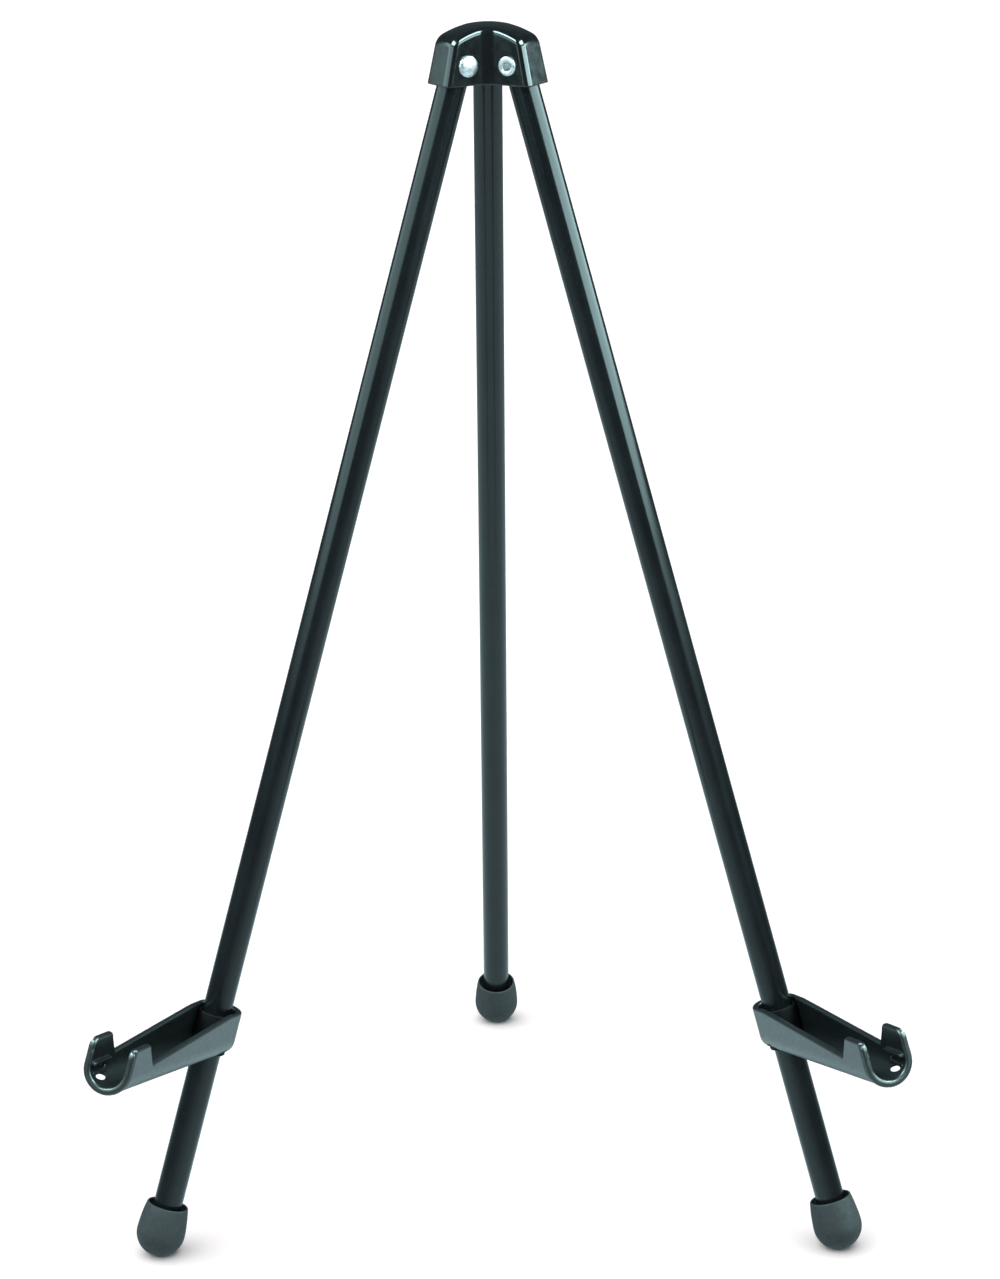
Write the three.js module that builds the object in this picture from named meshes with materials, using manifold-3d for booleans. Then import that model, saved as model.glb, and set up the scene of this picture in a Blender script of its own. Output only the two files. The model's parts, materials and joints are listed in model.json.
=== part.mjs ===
// Folding tabletop display easel: a three-lobed cap, three tubular legs on rivets,
// rubber feet, and a trough-shaped holder on each front leg.
// Millimetres, +Z up, +Y towards the back leg. The easel stands on Z = 0.

import * as THREE from 'three';
import { mergeVertices } from 'three/addons/utils/BufferGeometryUtils.js';
import Module from 'manifold-3d';

// ---- driving dimensions -------------------------------------------------------------

const height = 356;              // floor to the top of the cap's dome
const gap = 0.25;                // running and seating clearance between pieces

const pivotRadius = 10;          // easel axis to each rivet, measured across the cap
const pivotHeight = 344.7;       // floor to the rivets
const footCircle = 116.1;        // easel axis to the centre of each foot's ball
const footBallRadius = 7.2;
const footBallHeight = 6.9;      // lower than its radius, so the ball has a small flat
const legAzimuths = { left: 210, right: 330, back: 90 };

const tubeRadius = 4.25;
const tubeWall = 0.8;
const tubeAbovePivot = 3;
const tubeIntoFoot = 1.2;        // end of the tube, above the centre of the foot's ball

const capRimHeight = 339.1;
const capShoulderHeight = 351.3;
const capWall = 0.8;
const capRim = { tip: 17.1, half: 6.3, corner: 2, valley: 2.6 };
const capShoulder = { tip: 14.4, half: 5.8, corner: 2, valley: 2.6 };
const capDomeRadius = 30;

const rivetRadius = 1.5;
const rivetHead = { radius: 3, height: 1.3 };
const rivetTail = { radius: 2.7, height: 0.9, boreRadius: 0.95, boreDepth: 2.6, draft: 0.15 };
const washer = { outer: 3.4, thickness: 0.55 };

const footRim = { outer: 6.15, inner: 5.5, height: 8.7, lip: 0.3, chamfer: 0.35 };
const footBore = { floor: 0.9, top: 5.4 };
const footSwell = 1.8;           // how late the cup's wall curves in to its rim

const holderAlong = 291;         // rivet to the middle of the holder, down the tube
const holderTurn = 41;           // holder's heading, turned forward from straight outward
const holderHalf = 6.8;          // half of its outside width
const holderWall = 1.9;
const holderHeight = 15;         // at the tube
const holderInner = -1.5;        // centre of the rounded inner end
const holderOuter = 80;          // open outer end
const holderRise = 2.9;          // how far the floor climbs by the outer end
const holderFlat = 6.2;          // where the top edge starts to slope down
const notch = { along: 62.3, up: 3.2 };
const tab = { inner: 66.3, outer: 79.2, up: 9.8, round: 2.4 };
const drain = { along: 74, across: 3.2, length: 3.8, width: 2 };
const tabRib = { from: 67.5, to: 78, up: 2.4, height: 1, depth: 0.8 };

const sleeveWall = 0.8;
const sleeveHeight = 12;
const sleeveSlit = 1.2;

// ---- values worked out from them ----------------------------------------------------

const splay = Math.atan2(footCircle - pivotRadius, pivotHeight - footBallHeight);
const legLength = Math.hypot(footCircle - pivotRadius, pivotHeight - footBallHeight);
const rad = THREE.MathUtils.degToRad;
const sleeveInner = tubeRadius + gap;
const sleeveOuter = sleeveInner + sleeveWall;
const roundSides = 32;
const past = 20;                 // how far a cutting tool reaches past the piece it cuts

// ---- solids: joining and cutting closed meshes --------------------------------------

const wasm = await Module();
wasm.setup();

function toSolid(geometry) {
  const bare = geometry.clone();
  bare.deleteAttribute('normal');
  bare.deleteAttribute('uv');
  const merged = mergeVertices(bare, 1e-4);
  return new wasm.Manifold(new wasm.Mesh({
    numProp: 3,
    vertProperties: new Float32Array(merged.attributes.position.array),
    triVerts: new Uint32Array(merged.index.array),
  }));
}

function toGeometry(solid) {
  const { vertProperties, triVerts } = solid.getMesh();
  const geometry = new THREE.BufferGeometry();
  geometry.setAttribute('position', new THREE.BufferAttribute(vertProperties, 3));
  geometry.setIndex(new THREE.BufferAttribute(triVerts, 1));
  geometry.computeVertexNormals();
  return geometry;
}

// ---- shapes -------------------------------------------------------------------------

// A solid of revolution about Z. The profile is [radius, z] points, going up the outside.
function turned(profile, sides = roundSides) {
  const points = profile.map(([r, z]) => new THREE.Vector2(r, z));
  return new THREE.LatheGeometry(points, sides).rotateX(Math.PI / 2);
}

function ring(inner, outer, bottom, top, sides = roundSides) {
  return turned(
    [[inner, bottom], [outer, bottom], [outer, top], [inner, top], [inner, bottom]],
    sides,
  );
}

function rod(radius, bottom, top, sides = roundSides) {
  return turned([[0, bottom], [radius, bottom], [radius, top], [0, top]], sides);
}

// Points of an arc in a profile or an outline, angles in degrees.
function arc(cx, cy, radius, from, to, steps) {
  return Array.from({ length: steps + 1 }, (_, i) => {
    const angle = rad(from + (to - from) * i / steps);
    return [cx + radius * Math.cos(angle), cy + radius * Math.sin(angle)];
  });
}

function shapeOf(points) {
  return new THREE.Shape(points.map(([x, y]) => new THREE.Vector2(x, y)));
}

// A flat shape made solid along Z, from z = bottom to z = top.
function prism(shape, bottom, top) {
  const settings = { depth: top - bottom, bevelEnabled: false, curveSegments: 8 };
  return new THREE.ExtrudeGeometry(shape, settings).translate(0, 0, bottom);
}

// A closed solid between two outlines with the same number of points.
function loft(lower, zLower, upper, zUpper) {
  const count = lower.length;
  const flat = lower.map(([x, y]) => new THREE.Vector2(x, y));
  const faces = THREE.ShapeUtils.triangulateShape(flat, []);
  const positions = [
    ...lower.flatMap(([x, y]) => [x, y, zLower]),
    ...upper.flatMap(([x, y]) => [x, y, zUpper]),
  ];
  const index = [
    ...faces.flatMap(([a, b, c]) => [c, b, a]),
    ...faces.flatMap(([a, b, c]) => [a + count, b + count, c + count]),
  ];
  for (let i = 0; i < count; i += 1) {
    const next = (i + 1) % count;
    index.push(i, next, next + count, i, next + count, i + count);
  }
  const geometry = new THREE.BufferGeometry();
  geometry.setAttribute('position', new THREE.Float32BufferAttribute(positions, 3));
  geometry.setIndex(index);
  return geometry;
}

// ---- cap ----------------------------------------------------------------------------

// Three lobes with rounded tips, joined by filleted valleys, as seen from above.
function lobedOutline({ tip, half, corner, valley }) {
  const meet = half / Math.sin(rad(60));
  const reach = meet + valley / Math.sin(rad(60));
  const lobe = [
    ...arc(tip - corner, corner - half, corner, -90, 0, 4),
    ...arc(tip - corner, half - corner, corner, 0, 90, 4),
    ...arc(reach * Math.cos(rad(60)), reach * Math.sin(rad(60)), valley, -90, -150, 4),
  ];
  return Object.values(legAzimuths).sort((a, b) => a - b).flatMap((azimuth) => {
    const [c, s] = [Math.cos(rad(azimuth)), Math.sin(rad(azimuth))];
    return lobe.map(([x, y]) => [x * c - y * s, x * s + y * c]);
  });
}

function shrink({ tip, half, corner, valley }, by) {
  return {
    tip: tip - by,
    half: half - by,
    corner: Math.max(corner - by, 0.2),
    valley: valley + by,
  };
}

// The lobed walls, drawn from the rim to the shoulder and carried straight on past both.
function lobedWalls(inset, below) {
  const rim = lobedOutline(shrink(capRim, inset));
  const shoulder = lobedOutline(shrink(capShoulder, inset));
  const rise = capShoulderHeight - capRimHeight;
  const carry = (z) => rim.map(([x, y], i) => {
    const k = (z - capRimHeight) / rise;
    return [x + (shoulder[i][0] - x) * k, y + (shoulder[i][1] - y) * k];
  });
  const low = capRimHeight - below;
  return toSolid(loft(carry(low), low, carry(height), height));
}

function dome(radius) {
  const middle = height - capDomeRadius;
  const crown = arc(0, middle, radius, 0, 90, 14).slice(0, -1);
  return toSolid(turned([[0, middle], ...crown, [0, middle + radius]], 36));
}

// Everything that belongs to one leg is drawn with its rivet at the origin, its tube down
// -Z, straight outward along +X, and the rivet along Y. This group places it on the easel.
function legFrame(azimuth) {
  const frame = new THREE.Group();
  const turn = rad(azimuth);
  frame.position.set(pivotRadius * Math.cos(turn), pivotRadius * Math.sin(turn), pivotHeight);
  frame.rotation.set(0, -splay, turn, 'ZYX');
  frame.updateMatrix();
  return frame;
}

function alongY(geometry) {
  return geometry.rotateX(-Math.PI / 2);
}

function capGeometry() {
  const outside = lobedWalls(0, 0).intersect(dome(capDomeRadius));
  const inside = lobedWalls(capWall, 1).intersect(dome(capDomeRadius - capWall));
  let cap = outside.subtract(inside);
  for (const azimuth of Object.values(legAzimuths)) {
    const place = legFrame(azimuth).matrix;
    const hole = alongY(rod(rivetRadius + gap, -capRim.tip / 2, capRim.tip / 2));
    const bed = rod(tubeRadius + gap, -capRim.tip, 0);
    cap = cap.subtract(toSolid(hole.applyMatrix4(place)));
    cap = cap.subtract(toSolid(bed.applyMatrix4(place)));
  }
  return toGeometry(cap);
}

// Half the cap's outside width at the rivets.
const capHalfAtPivot = THREE.MathUtils.mapLinear(
  pivotHeight, capRimHeight, capShoulderHeight, capRim.half, capShoulder.half,
);

// ---- rivet and washers --------------------------------------------------------------

// Domed factory head at +Y, and a rolled tail with a blind bore at -Y.
function rivetGeometry() {
  const seat = capHalfAtPivot + gap;
  const tail = -seat - rivetTail.height;
  const bulge = (rivetHead.radius ** 2 + rivetHead.height ** 2) / (2 * rivetHead.height);
  const halfAngle = THREE.MathUtils.radToDeg(Math.asin(rivetHead.radius / bulge));
  const crown = arc(0, seat + rivetHead.height - bulge, bulge, 90 - halfAngle, 90, 5);
  const roll = {
    middle: (rivetTail.boreRadius + rivetTail.radius) / 2,
    half: (rivetTail.radius - rivetTail.boreRadius) / 2,
    round: rivetTail.height / 2,
    up: tail + rivetTail.height / 2,
  };
  return alongY(turned([
    [0, tail + rivetTail.boreDepth],
    [rivetTail.boreRadius, tail + rivetTail.boreDepth - rivetTail.boreRadius / 2],
    ...arc(0, 0, 1, 180, 360, 6).map(([x, y]) => (
      [roll.middle + roll.half * x, roll.up + roll.round * y])),
    [rivetTail.radius - rivetTail.draft, -seat],
    [rivetRadius, -seat],
    [rivetRadius, seat],
    ...crown.slice(0, -1),
    [0, seat + rivetHead.height],
  ], 20));
}

function washerGeometry(side) {
  const middle = (capHalfAtPivot - capWall + tubeRadius) / 2;
  const half = washer.thickness / 2;
  const disc = ring(rivetRadius + gap, washer.outer, middle - half, middle + half, 24);
  return alongY(disc).rotateX(side > 0 ? 0 : Math.PI);
}

// ---- tube and foot ------------------------------------------------------------------

function tubeGeometry() {
  const bottom = tubeIntoFoot - legLength;
  const wall = toSolid(ring(tubeRadius - tubeWall, tubeRadius, bottom, tubeAbovePivot));
  const hole = toSolid(alongY(rod(rivetRadius + gap, -past, past, 24)));
  return toGeometry(wall.subtract(hole));
}

// A rubber cup whose wall swells into a ball, cut by a small flat on the floor.
function footGeometry() {
  const { outer, inner, height: rim, lip, chamfer } = footRim;
  const wall = [0.25, 0.5, 0.75, 1].map((k) => (
    [footBallRadius - (footBallRadius - outer) * k ** footSwell, (rim - lip) * k]));
  const body = toSolid(turned([
    [0, -footBallRadius],
    ...arc(0, 0, footBallRadius, -80, 0, 8),
    ...wall,
    [outer - lip, rim],
    [inner, rim],
    [inner - chamfer, rim - chamfer * 2],
    [tubeRadius + gap, footBore.top],
    [tubeRadius + gap, footBore.floor],
    [0, footBore.floor],
  ], 28));
  const floor = new THREE.BoxGeometry(past * 2, past * 2, past);
  floor.translate(0, 0, -footBallHeight - past / 2).rotateY(splay);
  return toGeometry(body.subtract(toSolid(floor))).translate(0, 0, -legLength);
}

// ---- holder and its sleeve ----------------------------------------------------------
// Drawn with X along the holder, Y across it, and Z up the tube through the origin.

// A bar along X with a half-round underside that climbs towards the outer end.
function roundBar(half) {
  const inner = holderInner - holderHalf;
  const slope = holderRise / (holderOuter - inner);
  const middle = holderHalf - holderHeight / 2;
  const section = shapeOf([...arc(0, middle, half, -180, 0, 16), [half, past], [-half, past]]);
  const turn = new THREE.Matrix4().makeBasis(
    new THREE.Vector3(0, 1, 0), new THREE.Vector3(0, 0, 1), new THREE.Vector3(1, 0, 0),
  );
  const climb = new THREE.Matrix4().makeShear(0, slope, 0, 0, 0, 0);
  const bar = prism(section, -past, holderOuter + past)
    .applyMatrix4(turn).translate(-inner, 0, 0);
  return toSolid(bar.applyMatrix4(climb).translate(inner, 0, 0));
}

// The plan of the trough: straight sides and a rounded inner end.
function roundEnded(half) {
  const end = holderOuter + past;
  const outline = [...arc(holderInner, 0, half, 90, 270, 16), [end, -half], [end, half]];
  return toSolid(prism(shapeOf(outline), -past, past));
}

// The side view of the walls: flat by the tube, sloping to the notch, then the end tab.
function sideView() {
  const { inner, outer, up, round } = tab;
  const top = holderHeight / 2;
  const outline = [
    [-past, -past],
    [holderOuter, -past],
    ...arc(outer - round, up - round, round, 0, 90, 5),
    ...arc(inner + round, up - round, round, 90, 160, 4),
    [notch.along, notch.up],
    [holderFlat, top],
    [-past, top],
  ];
  return toSolid(prism(shapeOf(outline), -past, past).rotateX(Math.PI / 2));
}

// farSide is +1 or -1: the side of the trough, along Y, that faces away from the front.
function holderGeometry(farSide) {
  const half = holderHalf - holderWall;
  const outside = roundBar(holderHalf).intersect(roundEnded(holderHalf)).intersect(sideView());
  const trough = roundBar(half).intersect(roundEnded(half));
  const bore = toSolid(rod(sleeveOuter + gap, -past, past));
  const drainHalf = (drain.length - drain.width) / 2;
  const slot = prism(shapeOf([
    ...arc(drain.along + drainHalf, 0, drain.width / 2, -90, 90, 6),
    ...arc(drain.along - drainHalf, 0, drain.width / 2, 90, 270, 6),
  ]), -past, notch.up).translate(0, farSide * drain.across, 0);
  const rib = new THREE.BoxGeometry(tabRib.to - tabRib.from, tabRib.depth * 2, tabRib.height);
  rib.translate((tabRib.from + tabRib.to) / 2, farSide * half, tabRib.up);
  const shell = outside.subtract(trough).subtract(bore).subtract(toSolid(slot));
  return toGeometry(shell.add(toSolid(rib)));
}

function sleeveGeometry() {
  const body = toSolid(ring(sleeveInner, sleeveOuter, -sleeveHeight / 2, sleeveHeight / 2));
  const slit = new THREE.BoxGeometry(sleeveOuter * 2, sleeveSlit, sleeveHeight * 2);
  slit.translate(sleeveOuter, 0, 0);
  return toGeometry(body.subtract(toSolid(slit)));
}

// ---- finishes -----------------------------------------------------------------------

const finishes = {
  glossEnamel: { color: 0x0b0d0e, roughness: 0.18, metalness: 0.1 },
  tubeEnamel: { color: 0x14181a, roughness: 0.28, metalness: 0.1 },
  rubber: { color: 0x25292b, roughness: 0.8, metalness: 0 },
  holderPlastic: { color: 0x1c2223, roughness: 0.45, metalness: 0 },
  sleevePlastic: { color: 0x101213, roughness: 0.6, metalness: 0 },
  steel: { color: 0xc9cccd, roughness: 0.3, metalness: 1 },
  nylon: { color: 0x1a1c1d, roughness: 0.55, metalness: 0 },
};

function addPiece(parent, name, geometry, finish) {
  const piece = new THREE.Mesh(geometry, new THREE.MeshStandardMaterial(finishes[finish]));
  piece.name = name;
  parent.add(piece);
  return piece;
}

// ---- assembly -----------------------------------------------------------------------

const easel = new THREE.Group();
addPiece(easel, 'head_cap', capGeometry(), 'glossEnamel');

for (const [side, azimuth] of Object.entries(legAzimuths)) {
  const leg = legFrame(azimuth);
  easel.add(leg);
  addPiece(leg, `pivot_rivet_${side}`, rivetGeometry(), 'steel');
  addPiece(leg, `pivot_washer_${side}_a`, washerGeometry(1), 'nylon');
  addPiece(leg, `pivot_washer_${side}_b`, washerGeometry(-1), 'nylon');
  addPiece(leg, `leg_tube_${side}`, tubeGeometry(), 'tubeEnamel');
  addPiece(leg, `rubber_foot_${side}`, footGeometry(), 'rubber');
  if (side === 'back') continue;
  const farSide = side === 'left' ? -1 : 1;
  const sleeve = addPiece(leg, `grip_sleeve_${side}`, sleeveGeometry(), 'sleevePlastic');
  const holder = addPiece(leg, `board_holder_${side}`, holderGeometry(farSide), 'holderPlastic');
  sleeve.position.z = -holderAlong;
  holder.position.z = -holderAlong;
  holder.rotation.z = rad(-farSide * holderTurn);
}

// The frame's origin is under the middle of the whole object, on the floor.
const middle = new THREE.Box3().setFromObject(easel, true).getCenter(new THREE.Vector3());
easel.position.set(-middle.x, -middle.y, 0);

export default easel;
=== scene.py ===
"""Looks, lights and camera for a folding tabletop display easel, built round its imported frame.

Blender works in metres. Sizes in this file are millimetres, except those under studio,
which are metres. Angles written as numbers are degrees.
Each leg has its own axes: the rivet at the origin, the tube down -Z, the hinge along Y
and the outside of the splay along +X.
"""

import json
import math

import bmesh
import bpy
import numpy as np
from mathutils import Matrix, Vector, noise


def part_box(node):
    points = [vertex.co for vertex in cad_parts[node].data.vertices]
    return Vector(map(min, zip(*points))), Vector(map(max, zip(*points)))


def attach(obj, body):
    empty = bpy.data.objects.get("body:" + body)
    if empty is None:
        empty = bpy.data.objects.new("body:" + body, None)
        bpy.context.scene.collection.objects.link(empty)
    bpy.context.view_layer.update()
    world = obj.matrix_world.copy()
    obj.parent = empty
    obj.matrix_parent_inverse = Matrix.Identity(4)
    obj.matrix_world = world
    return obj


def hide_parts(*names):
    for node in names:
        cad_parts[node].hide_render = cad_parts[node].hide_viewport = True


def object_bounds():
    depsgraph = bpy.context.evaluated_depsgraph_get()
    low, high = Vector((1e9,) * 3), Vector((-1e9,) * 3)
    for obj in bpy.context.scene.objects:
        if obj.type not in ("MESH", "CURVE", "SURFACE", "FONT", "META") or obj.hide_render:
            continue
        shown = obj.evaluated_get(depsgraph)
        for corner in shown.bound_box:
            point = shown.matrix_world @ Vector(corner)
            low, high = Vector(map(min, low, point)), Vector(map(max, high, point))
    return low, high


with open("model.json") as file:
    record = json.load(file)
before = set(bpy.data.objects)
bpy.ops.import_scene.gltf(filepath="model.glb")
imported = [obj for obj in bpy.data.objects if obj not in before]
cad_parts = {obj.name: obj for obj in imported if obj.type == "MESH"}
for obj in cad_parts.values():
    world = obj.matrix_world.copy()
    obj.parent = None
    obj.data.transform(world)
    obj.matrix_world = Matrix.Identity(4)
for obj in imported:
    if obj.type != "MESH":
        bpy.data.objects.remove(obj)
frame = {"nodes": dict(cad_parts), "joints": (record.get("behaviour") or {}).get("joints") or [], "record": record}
cad_low, cad_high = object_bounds()

MM = 0.001
UP = Vector((0, 0, 1))
LEGS = ("left", "right", "back")
HELD = ("left", "right")

# ---- sizes that the frame doesn't state ----------------------------------------------

SIDES = {"tube": 96, "foot": 80, "sleeve": 72, "rivet": 64, "washer": 48, "drill": 40}
SHARP_ANGLE = {"tube": 35, "foot": 50, "sleeve": 40, "rivet": 50, "washer": 40, "drill": 35}
FILLET_STEPS = {"tube": 4, "foot": 4, "sleeve": 3, "washer": 3}

CLEARANCE = 0.25
TUBE_WALL = 0.8
TUBE_CUT_EDGE = 0.2
TUBE_TOP_EDGE = 0.3
TUBE_RING_AT = -5
DRILL_OVERSHOOT = 1

CAP_WALL = 0.8
CAP_SHOULDER_BELOW_TOP = 4.7
CAP_DOME_RADIUS = 30
CAP_RIM = {"tip": 17.1, "half": 6.3}
CAP_SHOULDER = {"tip": 14.4, "half": 5.8}
CAP_CORNER = 2.0
CAP_LEAST_CORNER = 0.2
CAP_VALLEY = 2.6
CAP_EDGE = 1.5
CAP_LIP = 0.3
CAP_STEP = 0.3

RIVET_RADIUS = 1.5
RIVET_HEAD = {"radius": 3.05, "height": 1.35}
RIVET_TAIL = {"radius": 2.75, "height": 0.9, "bore": 1.35, "depth": 3.8}
RIVET_STEPS = {"tail": 14, "head": 10}
RIVET_SEAT_GAP = 0.05
RIVET_HEAD_EDGE = 0.35
RIVET_UNDERCUT = 0.1
RIVET_BORE_DRAFT = 0.25
CRIMP = {"petals": 5, "share": 0.09}
WASHER = {"outer": 3.4, "thickness": 0.55, "edge": 0.18}

FOOT_BALL_RADIUS = 7.2
FOOT_BALL_HEIGHT = 6.9
FOOT_RIM = {"outer": 6.15, "inner": 5.6, "height": 8.7}
FOOT_SWELL = 1.8
FOOT_MOUTH = {"draft": 0.1, "depth": 2.2, "throat": 3.8}
FOOT_BORE_FLOOR = 0.9
FOOT_FILLET = {"outer": 0.3, "inner": 0.25, "throat": 0.4}
FOOT_BALL_STEPS = 24
FOOT_WALL_STEPS = 12
FOOT_WOBBLE = {"inside": 4.9, "above_floor": 0.3, "size": 5, "depth": 0.07, "seed": 3.1}

HOLDER_TURN = 41
HOLDER_HALF = 6.8
HOLDER_WALL = 1.9
HOLDER_TOP = 7.5
HOLDER_INNER = -1.5
HOLDER_OUTER = 80.0
HOLDER_RISE = 2.9
HOLDER_FLAT = 6.2
HOLDER_STEP = 0.4
HOLDER_LEAST_CORNER = 0.01
HOLDER_TURN_IN = {"outside": 2.2, "inside": 1.2}
NOTCH = {"along": 62.3, "up": 3.2}
TAB = {"inner": 66.3, "outer": 79.2, "up": 9.8, "round": 2.4}
RIM_ROUND = 0.8
END_BEAD = {"width": 1.6, "proud": 0.26, "ramp": 0.5, "groove": 0.6, "groove_width": 0.42}
DRAIN = {"along": 74.0, "across": 3.2, "up": -1.7, "wide": 1.35, "tall": 0.75, "reach": 7.0}
DRAIN_SLOPE = {"along": -0.90, "across": 0.31, "up": -0.29}
LEDGE = {"from": 67.2, "to": 78.4, "up": 2.4, "half_height": 0.5, "depth": 1.3}
STEP_RIB = {"from": 69.0, "to": 77.5, "up": -0.9, "half_height": 0.45, "depth": 0.9}
RIB_EDGE = 0.05
RIB_FILLET = 0.25
HOLE_EDGE = 0.2
DIMPLE_EDGE = 0.15
DIMPLE = {"along": 69.6, "up": 0.9, "radius": 0.95}

SLEEVE_SLIT = 1.2
SLEEVE_EDGE = 0.25


# ---- where things are ----------------------------------------------------------------

joints = {joint["name"]: joint for joint in frame["joints"]}
mounts = {mount["name"]: Vector(mount["pos_m"]) for mount in frame["record"]["mounts"]}
body_of = {
    node: body
    for body, nodes in frame["record"]["behaviour"]["bodies"].items()
    for node in nodes
}
splay = math.acos(joints["slide_left"]["axis"][2])


def leg_frame(side):
    """The leg's axes in the row frame, from its fold joint."""
    joint = joints[f"fold_{side}"]
    hinge = Vector(joint["axis"]).normalized()
    outward = hinge.cross(UP)
    along = UP * math.cos(splay) - outward * math.sin(splay)
    matrix = Matrix((hinge.cross(along), hinge, along)).transposed().to_4x4()
    matrix.translation = Vector(joint["pos_m"])
    return matrix


def holder_frame(side):
    """The holder's axes: X along it, Z up the tube, the origin on the tube's axis."""
    turn = math.radians(-far_side(side) * HOLDER_TURN)
    matrix = leg_frame(side) @ Matrix.Rotation(turn, 4, "Z")
    matrix.translation = Vector(joints[f"swivel_{side}"]["pos_m"])
    return matrix


def sleeve_frame(side):
    """The leg's axes, moved down to the sleeve."""
    matrix = leg_frame(side)
    matrix.translation = Vector(joints[f"swivel_{side}"]["pos_m"])
    return matrix


def far_side(side):
    """The side of the holder, along its Y, that faces away from the front."""
    return -1 if side == "left" else 1


def leg_length(side):
    """Rivet to the centre of the foot's ball."""
    ball = mounts[f"foot_{side}_rest"] + UP * FOOT_BALL_HEIGHT * MM
    return (ball - leg_frame(side).translation).length / MM


def local_span(node, matrix):
    """A round node's largest radius about Z, and its lowest and highest Z, in local axes."""
    back = matrix.inverted()
    points = [back @ vertex.co for vertex in frame["nodes"][node].data.vertices]
    radius = max(math.hypot(p.x, p.y) for p in points)
    return radius / MM, min(p.z for p in points) / MM, max(p.z for p in points) / MM


rivets = [Vector(joints[f"fold_{side}"]["pos_m"]) for side in LEGS]
easel_axis = sum(rivets, Vector()) / len(rivets)
tube_radius = local_span("leg_tube_back", leg_frame("back"))[0]
sleeve_radius = local_span("grip_sleeve_left", sleeve_frame("left"))[0]


# ---- meshes --------------------------------------------------------------------------

def mesh_piece(name, vertices, faces, matrix, material, sharp_angle=None):
    """A piece from points in millimetres, placed by a matrix in metres."""
    mesh = bpy.data.meshes.new(name)
    mesh.from_pydata((np.asarray(vertices, float) * MM).tolist(), [], faces)
    mesh.validate()
    mesh.shade_smooth()
    if sharp_angle is not None:
        mesh.set_sharp_from_angle(angle=math.radians(sharp_angle))
    mesh.materials.append(material)
    piece = bpy.data.objects.new(name, mesh)
    bpy.context.scene.collection.objects.link(piece)
    piece.matrix_world = matrix
    return piece


def hand_over(piece, node):
    """The piece stands for a CAD node: it rides on its body, and the node is hidden."""
    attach(piece, body_of[node])
    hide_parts(node)


def filleted(profile, steps):
    """A profile of (radius, z, fillet) points with each corner rounded by its fillet."""
    made = []
    for i, (x, z, fillet) in enumerate(profile):
        corner = Vector((x, z))
        if fillet == 0 or i in (0, len(profile) - 1):
            made.append((x, z))
            continue
        before = Vector(profile[i - 1][:2]) - corner
        after = Vector(profile[i + 1][:2]) - corner
        start = corner + before.normalized() * min(fillet, before.length / 2)
        end = corner + after.normalized() * min(fillet, after.length / 2)
        for k in range(steps + 1):
            t = k / steps
            point = start * (1 - t) ** 2 + corner * 2 * t * (1 - t) + end * t ** 2
            made.append((point.x, point.y))
    return made


def arc(cx, cy, radius, start, stop, steps):
    """Points of an arc, angles in degrees."""
    angles = [math.radians(start + (stop - start) * i / steps) for i in range(steps + 1)]
    return [(cx + radius * math.cos(a), cy + radius * math.sin(a)) for a in angles]


def lathe(profile, sides, wave=None):
    """Vertices and faces of a profile turned about Z. wave(angle, r, z) changes a radius."""
    vertices = []
    rings = []
    for r, z in profile:
        count = 1 if r < 1e-6 else sides
        ring = []
        for i in range(count):
            angle = 2 * math.pi * i / sides
            radius = wave(angle, r, z) if wave and r > 1e-6 else r
            ring.append(len(vertices))
            vertices.append((radius * math.cos(angle), radius * math.sin(angle), z))
        rings.append(ring)
    faces = []
    for lower, upper in zip(rings, rings[1:]):
        for i in range(sides):
            quad = [
                lower[i % len(lower)],
                lower[(i + 1) % len(lower)],
                upper[(i + 1) % len(upper)],
                upper[i % len(upper)],
            ]
            corners = list(dict.fromkeys(quad))
            if len(corners) > 2:
                faces.append(corners)
    return vertices, faces


def closed_lathe(profile, sides):
    """As lathe, for a ring whose profile closes on itself."""
    vertices, faces = lathe(profile + profile[:1], sides)
    kept = len(profile) * sides
    wrapped = [[i if i < kept else i - kept for i in face] for face in faces]
    return vertices[:kept], wrapped


def drill(piece, radius, reach, spin):
    """Cuts a round hole through a piece. spin turns the drill from Z, in piece's axes."""
    outline = [(0, -reach), (radius, -reach), (radius, reach), (0, reach)]
    vertices, faces = lathe(outline, SIDES["drill"])
    cutter = mesh_piece("drill", vertices, faces, piece.matrix_world @ spin, None)
    modifier = piece.modifiers.new("hole", "BOOLEAN")
    modifier.operation = "DIFFERENCE"
    modifier.solver = "EXACT"
    modifier.object = cutter
    bpy.context.view_layer.update()
    cut = piece.evaluated_get(bpy.context.evaluated_depsgraph_get())
    mesh = bpy.data.meshes.new_from_object(cut)
    piece.modifiers.clear()
    piece.data = mesh
    mesh.set_sharp_from_angle(angle=math.radians(SHARP_ANGLE["drill"]))
    bpy.data.objects.remove(cutter)


# ---- solids from distance fields -----------------------------------------------------
# A field is a function of x, y and z, negative inside the solid, in millimetres.

FIELD_PULLS = 5
FIELD_LEAST_SLOPE = 0.2
FIELD_PROBE = 0.02


def round_max(a, b, radius):
    """Where both solids are, with the edge between them rounded off."""
    u = np.maximum(a + radius, 0)
    v = np.maximum(b + radius, 0)
    return np.minimum(np.maximum(a, b), -radius) + np.hypot(u, v)


def round_min(a, b, radius):
    """Where either solid is, with a fillet in the corner between them."""
    u = np.maximum(radius - a, 0)
    v = np.maximum(radius - b, 0)
    return np.maximum(np.minimum(a, b), radius) - np.hypot(u, v)


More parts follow.
